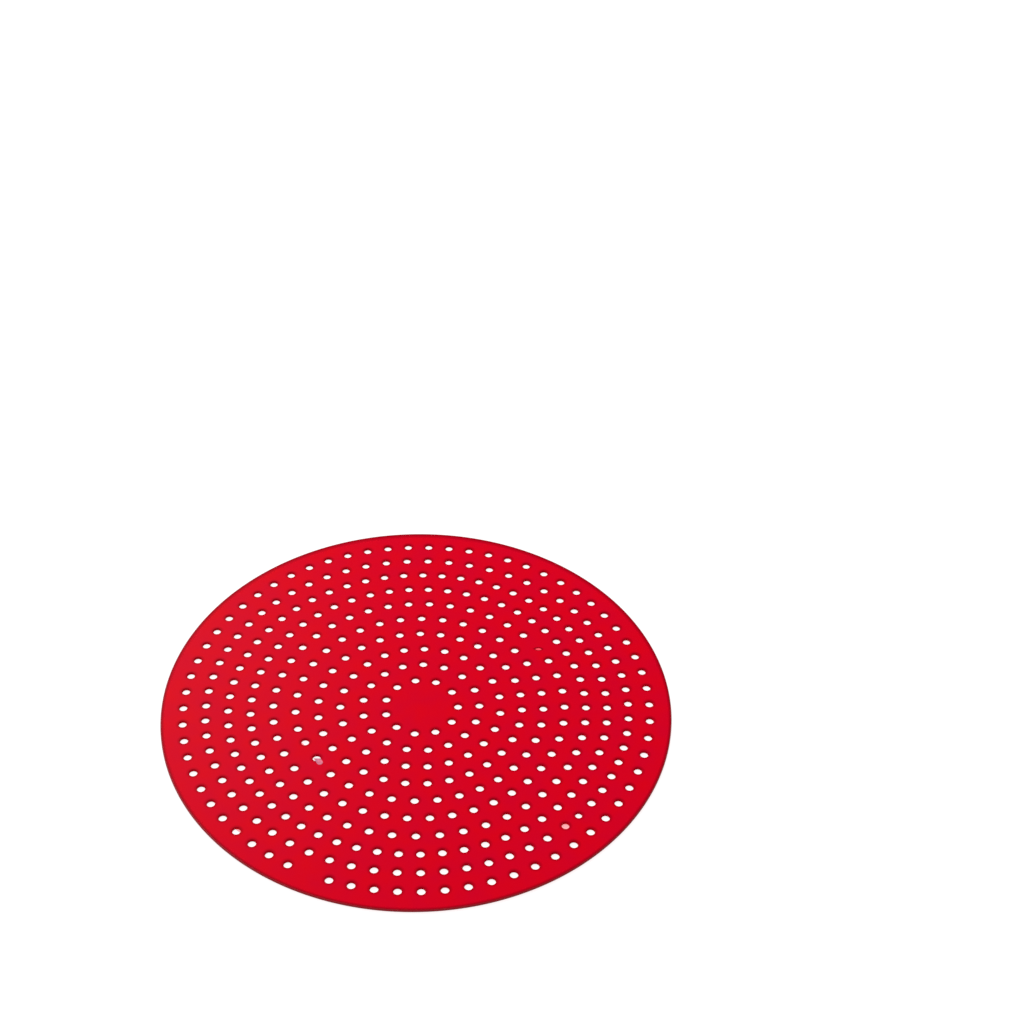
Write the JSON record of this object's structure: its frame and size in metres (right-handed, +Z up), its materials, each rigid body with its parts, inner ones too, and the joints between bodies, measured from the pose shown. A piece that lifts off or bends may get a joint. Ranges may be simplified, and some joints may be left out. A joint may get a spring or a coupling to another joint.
{
  "type": "air fryer liner",
  "caption": "Thin round flat silicone mat with a plain centre, concentric rings of small round drain holes and a plain rounded rim.",
  "frame": {"origin": "centre of the underside, on the surface that the liner lies on", "axes": "+Z up through the sheet; +X to the right and +Y away from the viewer as the liner lies in the picture"},
  "size_m": [0.216, 0.216, 0.0012],
  "materials": {
    "red_silicone": "satin"
  },
  "bodies": {
    "root": {"liner": "red_silicone"}
  },
  "joints": []
}
